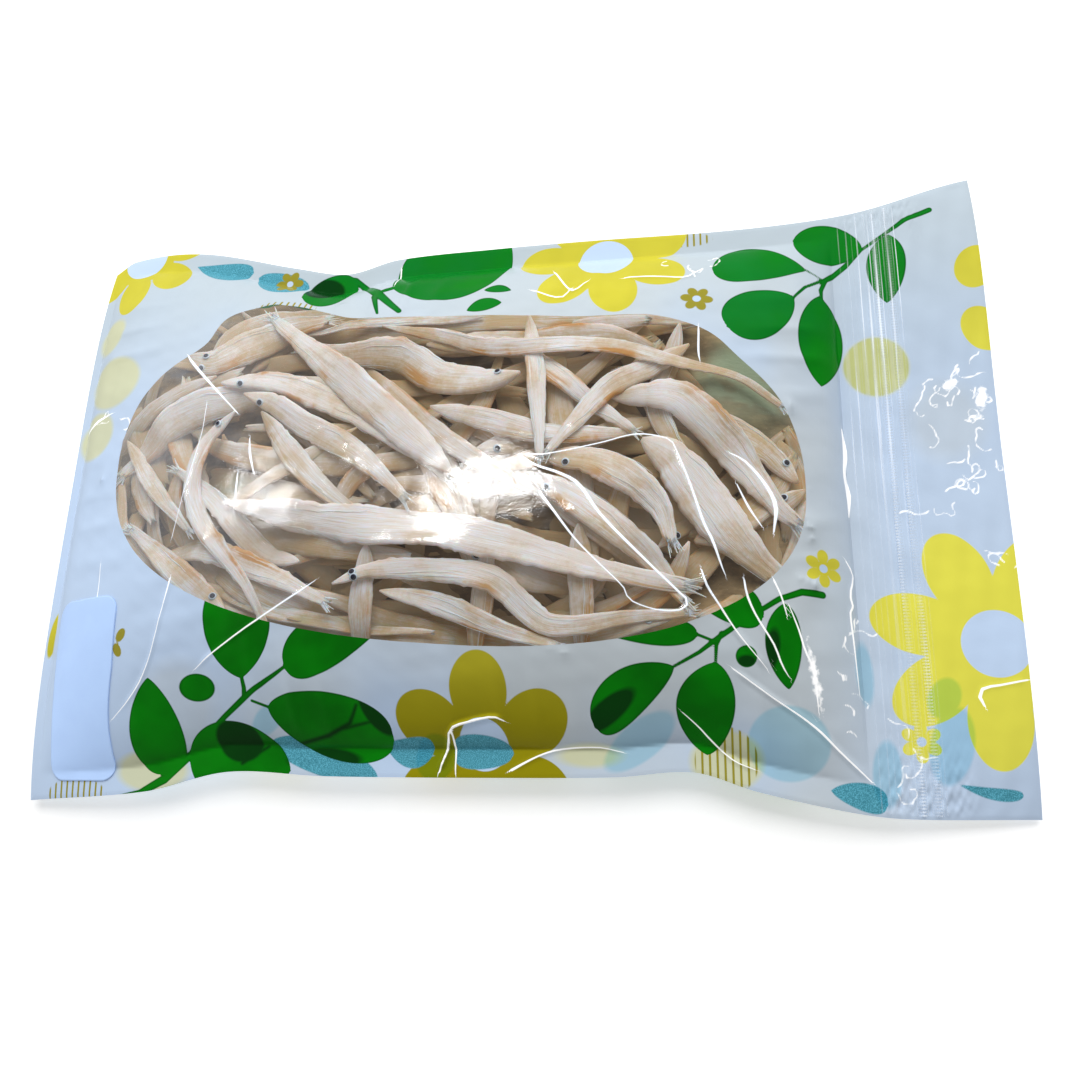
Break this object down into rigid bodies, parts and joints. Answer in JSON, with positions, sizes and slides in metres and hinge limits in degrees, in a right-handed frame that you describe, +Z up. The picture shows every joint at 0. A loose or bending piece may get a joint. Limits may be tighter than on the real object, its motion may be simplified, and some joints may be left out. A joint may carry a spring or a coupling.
{
  "type": "bag of dried whitebait",
  "caption": "Sealed flat pouch of dried whitebait with a clear oval window, a printed film, a zip header and a blank sticker, lying window side up.",
  "frame": {"origin": "bottom centre of the bounding box, on the surface that the pouch lies on", "axes": "+X along the pouch towards its zip end, +Y across it towards the far side seal, +Z up out of the window"},
  "size_m": [0.3, 0.1972, 0.0357],
  "materials": {
    "film": "glossy printed film, bluish white",
    "fish": "dry fibrous fish skin, pale beige",
    "zip_strip": "glossy ribbed clear plastic",
    "sticker": "smooth coated paper, blank"
  },
  "bodies": {
    "root": {"pouch": "film", "whitebait": "fish", "zip": "zip_strip", "label": "sticker"}
  },
  "joints": []
}
